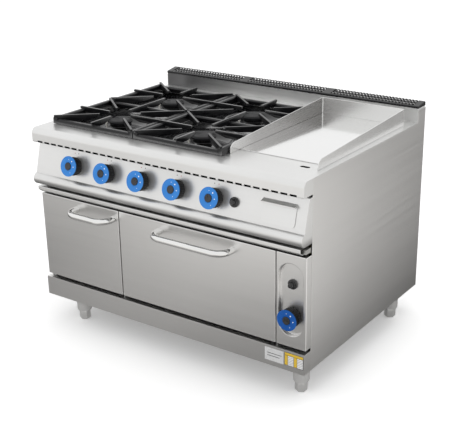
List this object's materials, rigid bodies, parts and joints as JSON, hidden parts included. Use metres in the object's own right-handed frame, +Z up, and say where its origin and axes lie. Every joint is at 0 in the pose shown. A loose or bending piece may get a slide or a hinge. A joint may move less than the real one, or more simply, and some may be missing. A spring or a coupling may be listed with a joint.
{
  "type": "commercial gas range",
  "caption": "Free-standing commercial gas range with open burners under cast grates, a smooth griddle with splash guard, an oven, a side cabinet and a rear flue.",
  "frame": {"origin": "on the floor, at the middle of the range's overall box seen from above, which includes the door handles", "axes": "+X to the right as the user faces the range, +Y from the controls to the flue, +Z up"},
  "size_m": [1.2, 0.9406, 0.876],
  "materials": {
    "brushed_steel": "brushed",
    "inner_steel": "satin mill finish",
    "polished_steel": "polished",
    "cast_iron": "satin black, slightly rough",
    "black_enamel": "gloss vitreous enamel",
    "black_plastic": "satin",
    "mineral_wool": "matt fibrous",
    "seal_rope": "matt",
    "pipe_steel": "satin"
  },
  "bodies": {
    "range_body": {"kick_plate": "brushed_steel", "side_panel_left": "brushed_steel", "side_panel_right": "brushed_steel", "back_panel": "brushed_steel", "front_bar": "brushed_steel", "oven_control_box": "brushed_steel", "deck": "brushed_steel", "control_panel": "brushed_steel", "griddle_splash_guard": "brushed_steel", "flue_riser": "brushed_steel", "leg_sleeve_1": "brushed_steel", "leg_sleeve_2": "brushed_steel", "leg_sleeve_3": "brushed_steel", "leg_sleeve_4": "brushed_steel", "base_tray": "inner_steel", "cabinet_box": "inner_steel", "oven_liner": "inner_steel", "oven_sole_plate": "inner_steel", "cabinet_hinge_rod": "inner_steel", "oven_hinge_rod": "inner_steel", "griddle_plate": "polished_steel", "burner_body_1": "cast_iron", "burner_body_2": "cast_iron", "burner_body_3": "cast_iron", "burner_body_4": "cast_iron", "burner_pan_left": "black_enamel", "burner_pan_right": "black_enamel", "flue_grille": "black_enamel", "burner_cap_1": "black_enamel", "burner_cap_2": "black_enamel", "burner_cap_3": "black_enamel", "burner_cap_4": "black_enamel", "oven_insulation": "mineral_wool", "oven_burner": "pipe_steel", "gas_rail": "pipe_steel", "gas_supply_pipe": "pipe_steel", "griddle_burner": "pipe_steel"},
    "cabinet_door": {"cabinet_door_skin": "brushed_steel", "cabinet_door_liner": "inner_steel", "cabinet_door_handle": "polished_steel"},
    "oven_door": {"oven_door_skin": "brushed_steel", "oven_door_liner": "inner_steel", "oven_door_handle": "polished_steel", "oven_door_gasket": "seal_rope"},
    "grease_drawer": {"grease_drawer": "brushed_steel"},
    "oven_rack": {"oven_rack": "polished_steel"},
    "grate_left": {"grate_left": "cast_iron"},
    "grate_right": {"grate_right": "cast_iron"},
    "knob_1": {"knob_1": "black_plastic"},
    "knob_2": {"knob_2": "black_plastic"},
    "knob_3": {"knob_3": "black_plastic"},
    "knob_4": {"knob_4": "black_plastic"},
    "knob_5": {"knob_5": "black_plastic"},
    "oven_knob": {"oven_knob": "black_plastic"},
    "igniter_button_hob": {"igniter_button_hob": "black_plastic"},
    "igniter_button_oven": {"igniter_button_oven": "black_plastic"},
    "leg_foot_1": {"leg_foot_1": "inner_steel"},
    "leg_foot_2": {"leg_foot_2": "inner_steel"},
    "leg_foot_3": {"leg_foot_3": "inner_steel"},
    "leg_foot_4": {"leg_foot_4": "inner_steel"}
  },
  "joints": [
    {"name": "knob_1_turn", "type": "hinge", "parent": "range_body", "child": "knob_1", "pos_m": [-0.4025, -0.39747, 0.6805], "axis": [0, -0.965, 0.2624], "range_deg": [0, 210]},
    {"name": "knob_2_turn", "type": "hinge", "parent": "range_body", "child": "knob_2", "pos_m": [-0.24194, -0.39747, 0.6805], "axis": [0, -0.965, 0.2624], "range_deg": [0, 210]},
    {"name": "knob_3_turn", "type": "hinge", "parent": "range_body", "child": "knob_3", "pos_m": [-0.08139, -0.39747, 0.6805], "axis": [0, -0.965, 0.2624], "range_deg": [0, 210]},
    {"name": "knob_4_turn", "type": "hinge", "parent": "range_body", "child": "knob_4", "pos_m": [0.07917, -0.39747, 0.6805], "axis": [0, -0.965, 0.2624], "range_deg": [0, 210]},
    {"name": "knob_5_turn", "type": "hinge", "parent": "range_body", "child": "knob_5", "pos_m": [0.23972, -0.39747, 0.6805], "axis": [0, -0.965, 0.2624], "range_deg": [0, 210]},
    {"name": "oven_knob_turn", "type": "hinge", "parent": "range_body", "child": "oven_knob", "pos_m": [0.54, -0.38175, 0.312], "axis": [0, -1, 0], "range_deg": [0, 270]},
    {"name": "igniter_hob_press", "type": "slide", "parent": "range_body", "child": "igniter_button_hob", "axis": [0, 0.965, -0.2624], "range_m": [0, 0.006], "stiffness_N_per_m": 600, "springref_m": -0.003},
    {"name": "igniter_oven_press", "type": "slide", "parent": "range_body", "child": "igniter_button_oven", "axis": [0, 1, 0], "range_m": [0, 0.006], "stiffness_N_per_m": 600, "springref_m": -0.003},
    {"name": "cabinet_door_hinge", "type": "hinge", "parent": "range_body", "child": "cabinet_door", "pos_m": [-0.588, -0.37975, 0.37], "axis": [0, 0, -1], "range_deg": [0, 110]},
    {"name": "oven_door_hinge", "type": "hinge", "parent": "range_body", "child": "oven_door", "pos_m": [0.137, -0.37975, 0.21], "axis": [1, 0, 0], "range_deg": [0, 90], "stiffness_Nm_per_rad": 5, "springref_deg": -11.46},
    {"name": "grease_drawer_slide", "type": "slide", "parent": "range_body", "child": "grease_drawer", "axis": [0, -1, 0], "range_m": [0, 0.36]},
    {"name": "oven_rack_slide", "type": "slide", "parent": "range_body", "child": "oven_rack", "axis": [0, -1, 0], "range_m": [0, 0.035]},
    {"name": "grate_left_lift", "type": "slide", "parent": "range_body", "child": "grate_left", "axis": [0, 0, 1], "range_m": [0, 0.12]},
    {"name": "grate_right_lift", "type": "slide", "parent": "range_body", "child": "grate_right", "axis": [0, 0, 1], "range_m": [0, 0.12]},
    {"name": "leg_foot_1_screw", "type": "slide", "parent": "range_body", "child": "leg_foot_1", "axis": [0, 0, -1], "range_m": [0, 0.03]},
    {"name": "leg_foot_2_screw", "type": "slide", "parent": "range_body", "child": "leg_foot_2", "axis": [0, 0, -1], "range_m": [0, 0.03]},
    {"name": "leg_foot_3_screw", "type": "slide", "parent": "range_body", "child": "leg_foot_3", "axis": [0, 0, -1], "range_m": [0, 0.03]},
    {"name": "leg_foot_4_screw", "type": "slide", "parent": "range_body", "child": "leg_foot_4", "axis": [0, 0, -1], "range_m": [0, 0.03]}
  ]
}
